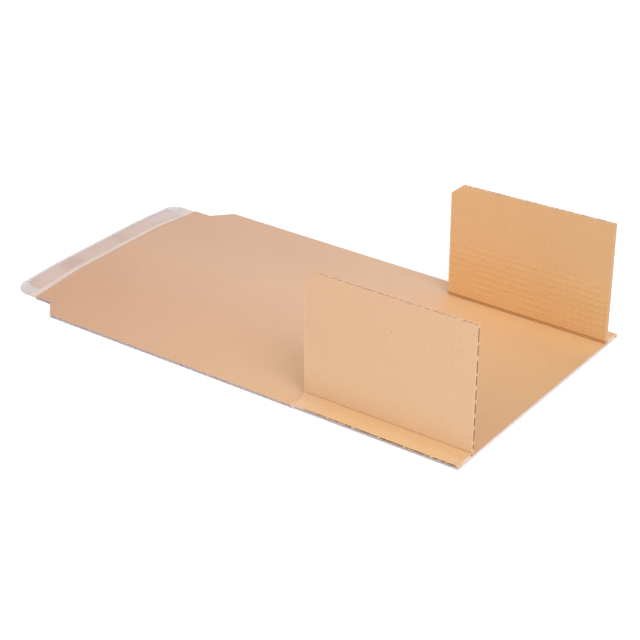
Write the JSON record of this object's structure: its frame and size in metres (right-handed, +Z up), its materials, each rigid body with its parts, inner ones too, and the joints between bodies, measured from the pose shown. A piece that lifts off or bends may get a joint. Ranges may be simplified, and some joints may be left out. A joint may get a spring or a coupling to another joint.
{
  "type": "wrap-around corrugated mailer",
  "caption": "Long corrugated board, lying open, with folded edge strips, side flaps that hinge up at their creases, and a self-seal tape past its tongue.",
  "frame": {"origin": "centre of the whole object's outline on the surface that it lies on, under the board", "axes": "+X along the board towards the end with the flaps, +Y across it towards the far flap, +Z up"},
  "size_m": [0.4655, 0.256, 0.1135],
  "materials": {
    "kraft_board": "uncoated kraft, matt",
    "carrier_film": "clear film, satin",
    "release_liner": "siliconised paper, satin"
  },
  "bodies": {
    "mailer_board": {"board": "kraft_board", "seal_tape": "carrier_film", "release_liner": "release_liner"},
    "near_side_flap": {"near_flap": "kraft_board"},
    "far_side_flap": {"far_flap": "kraft_board"}
  },
  "joints": [
    {"name": "near_flap_crease", "type": "hinge", "parent": "mailer_board", "child": "near_side_flap", "pos_m": [0.156, -0.1087, 0.0051], "axis": [-1, 0, 0], "range_deg": [-86, 91]},
    {"name": "far_flap_crease", "type": "hinge", "parent": "mailer_board", "child": "far_side_flap", "pos_m": [0.156, 0.1087, 0.0051], "axis": [1, 0, 0], "range_deg": [-89, 88]}
  ]
}
